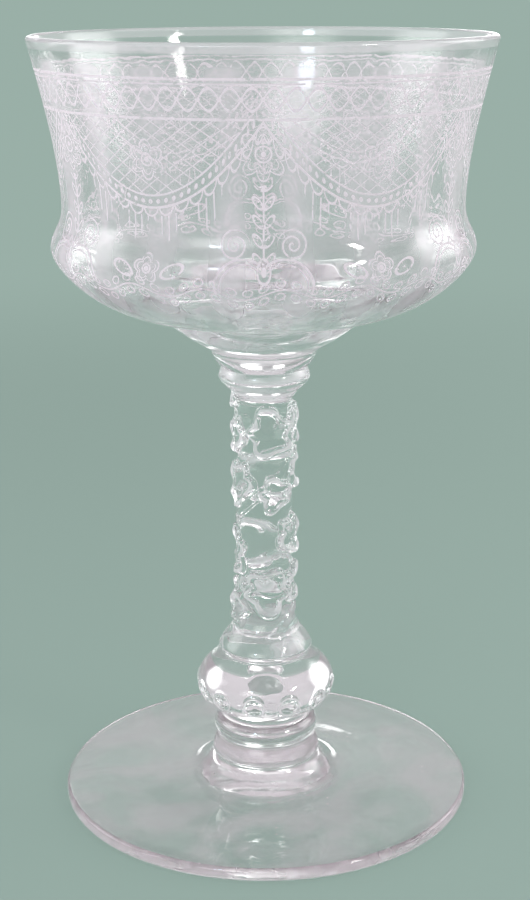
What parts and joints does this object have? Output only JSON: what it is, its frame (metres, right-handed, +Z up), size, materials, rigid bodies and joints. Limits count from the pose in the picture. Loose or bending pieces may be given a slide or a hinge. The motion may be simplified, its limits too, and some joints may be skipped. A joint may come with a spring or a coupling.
{
  "type": "cocktail glass",
  "caption": "Clear stemmed cocktail glass: flared blown bowl with an etched lace band, leafy moulded shaft, dimpled ball knop, stacked rings and a round foot.",
  "frame": {"origin": "centre of the foot's underside, on the surface the glass stands on", "axes": "+Z up through the rim, +X to the right and -Y towards the viewer"},
  "size_m": [0.08, 0.08, 0.14],
  "materials": {
    "clear_glass": "clear, fire-polished, moulded in relief on the shaft",
    "etched_glass": "clear blown glass with a frosted lace band etched on the outside"
  },
  "bodies": {
    "root": {"foot": "clear_glass", "base_ring": "clear_glass", "knop_ring": "clear_glass", "ball_knop": "clear_glass", "stem_shaft": "clear_glass", "stem_collar": "clear_glass", "bowl_merese": "clear_glass", "bowl": "etched_glass"}
  },
  "joints": []
}
